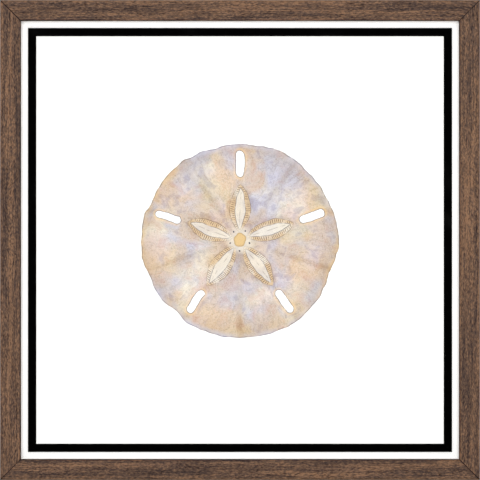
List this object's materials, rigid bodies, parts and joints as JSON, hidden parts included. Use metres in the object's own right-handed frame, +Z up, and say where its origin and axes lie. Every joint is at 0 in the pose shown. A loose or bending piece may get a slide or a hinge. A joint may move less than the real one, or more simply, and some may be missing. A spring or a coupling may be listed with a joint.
{
  "type": "framed art print",
  "caption": "Square watercolour print of a sand dollar, double matted under clear acrylic in a mitred walnut-toned frame with a sawtooth hanger.",
  "frame": {"origin": "where the wall nail bears: at the centre notch of the sawtooth hanger, on the plane of the wall", "axes": "the picture faces -Y, away from the wall; +Z is up, +X is to the viewer's right, and +Y points into the wall"},
  "size_m": [0.44, 0.025, 0.44],
  "materials": {
    "walnut": "satin walnut stain with open grain, raw paler wood at the back and in the rabbet",
    "clear_acrylic": "clear and polished",
    "white_mat_board": "matt white face with a white bevel-cut core",
    "black_mat_board": "matt black face with a white bevel-cut core",
    "print_paper": "matt watercolour paper with a printed wash drawing",
    "hardboard": "smooth tempered brown hardboard",
    "zinced_steel": "bright zinc plate",
    "brassed_steel": "brass plate on stamped steel",
    "black_rubber": "matt black moulded rubber"
  },
  "bodies": {
    "root": {"rail_top": "walnut", "rail_right": "walnut", "rail_bottom": "walnut", "rail_left": "walnut", "glazing": "clear_acrylic", "outer_mat": "white_mat_board", "inner_mat": "black_mat_board", "art_print": "print_paper", "backing_board": "hardboard", "framers_point_top_1": "zinced_steel", "framers_point_top_2": "zinced_steel", "framers_point_top_3": "zinced_steel", "framers_point_right_1": "zinced_steel", "framers_point_right_2": "zinced_steel", "framers_point_right_3": "zinced_steel", "framers_point_bottom_1": "zinced_steel", "framers_point_bottom_2": "zinced_steel", "framers_point_bottom_3": "zinced_steel", "framers_point_left_1": "zinced_steel", "framers_point_left_2": "zinced_steel", "framers_point_left_3": "zinced_steel", "v_nail_top_right_outer": "zinced_steel", "v_nail_top_right_inner": "zinced_steel", "v_nail_bottom_right_outer": "zinced_steel", "v_nail_bottom_right_inner": "zinced_steel", "v_nail_bottom_left_outer": "zinced_steel", "v_nail_bottom_left_inner": "zinced_steel", "v_nail_top_left_outer": "zinced_steel", "v_nail_top_left_inner": "zinced_steel", "sawtooth_hanger": "brassed_steel", "hanger_nail_left": "brassed_steel", "hanger_nail_right": "brassed_steel", "bumper_left": "black_rubber", "bumper_right": "black_rubber"}
  },
  "joints": []
}
